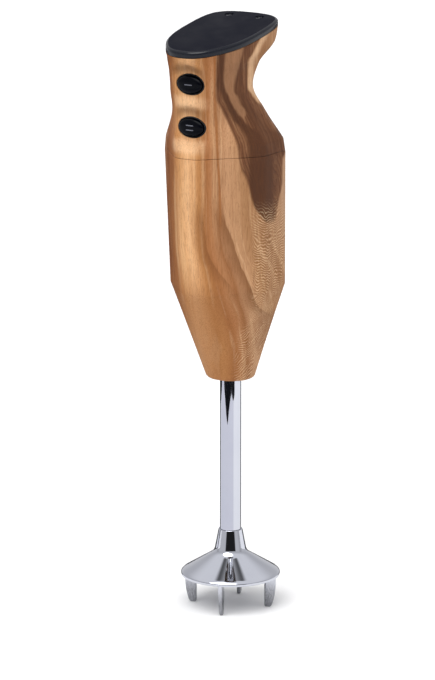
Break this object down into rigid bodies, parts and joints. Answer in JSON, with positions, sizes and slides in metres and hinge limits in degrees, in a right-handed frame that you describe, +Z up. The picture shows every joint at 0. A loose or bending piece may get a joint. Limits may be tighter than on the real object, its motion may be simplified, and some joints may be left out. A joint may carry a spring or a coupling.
{
  "type": "immersion blender",
  "caption": "Stick blender with a faceted wood-finish handle, sloping black oval cap, thumb buttons, chrome shaft tube and a legged bell-shaped blade guard.",
  "frame": {"origin": "on the standing surface under the middle of the part's box; the drive axis stands 10.7 mm behind it, towards +Y", "axes": "+Z up along the drive axis, -Y out of the button side, +X to the right when the buttons face the viewer"},
  "size_m": [0.066, 0.0806, 0.3431],
  "materials": {
    "wood_finish": "satin lacquer, streaked tan and dark walnut grain",
    "cap_black": "fine matte grain",
    "button_black": "high gloss",
    "black_rubber": "matte",
    "chrome": "mirror polish",
    "steel": "machined",
    "lamination": "dark laminated sheet",
    "copper": "enamelled copper",
    "bronze": "sintered bronze",
    "carbon": "dull",
    "nylon": "natural nylon",
    "board_green": "solder mask"
  },
  "bodies": {
    "housing": {"lower_housing": "wood_finish", "upper_housing": "wood_finish", "top_cap": "cap_black", "micro_switch_speed_1": "cap_black", "micro_switch_speed_2": "cap_black", "housing_joint_ring": "black_rubber", "cord_gland": "black_rubber", "button_seal_speed_1": "black_rubber", "button_seal_speed_2": "black_rubber", "shaft_seal": "black_rubber", "blade_guard": "chrome", "shaft_tube": "chrome", "cap_screw_1": "steel", "cap_screw_2": "steel", "tube_clamp_ring": "steel", "stator_bolt_1": "steel", "stator_bolt_2": "steel", "stator_stack": "lamination", "field_coil_front": "copper", "field_coil_rear": "copper", "choke_coil": "copper", "shaft_bush_lower": "bronze", "shaft_bush_upper": "bronze", "motor_bearing_lower": "bronze", "motor_bearing_upper": "bronze", "brush_holder_front": "bronze", "brush_holder_rear": "bronze", "carbon_brush_front": "carbon", "carbon_brush_rear": "carbon", "suppression_capacitor": "carbon", "switch_carrier": "nylon", "bearing_carrier_lower": "nylon", "bearing_carrier_upper": "nylon", "circuit_board": "board_green"},
    "rotor": {"drive_shaft": "steel", "cross_pin": "steel", "shaft_coupling": "nylon", "motor_shaft": "steel", "cooling_fan": "nylon", "armature_core": "lamination", "armature_winding": "copper", "commutator": "copper"},
    "blade": {"blade": "steel"},
    "button_1": {"button_speed_1": "button_black", "switch_plunger_speed_1": "nylon"},
    "button_2": {"button_speed_2": "button_black", "switch_plunger_speed_2": "nylon"}
  },
  "joints": [
    {"name": "drive_spin", "type": "hinge", "parent": "housing", "child": "rotor", "pos_m": [0, 0.0107, 0.1], "axis": [0, 0, 1], "continuous": true},
    {"name": "blade_pull_off", "type": "slide", "parent": "rotor", "child": "blade", "axis": [0, 0, -1], "range_m": [0, 0.0085]},
    {"name": "button_1_press", "type": "slide", "parent": "housing", "child": "button_1", "axis": [0, 1, 0], "range_m": [0, 0.002], "stiffness_N_per_m": 1000},
    {"name": "button_2_press", "type": "slide", "parent": "housing", "child": "button_2", "axis": [0, 1, 0], "range_m": [0, 0.002], "stiffness_N_per_m": 1000}
  ]
}
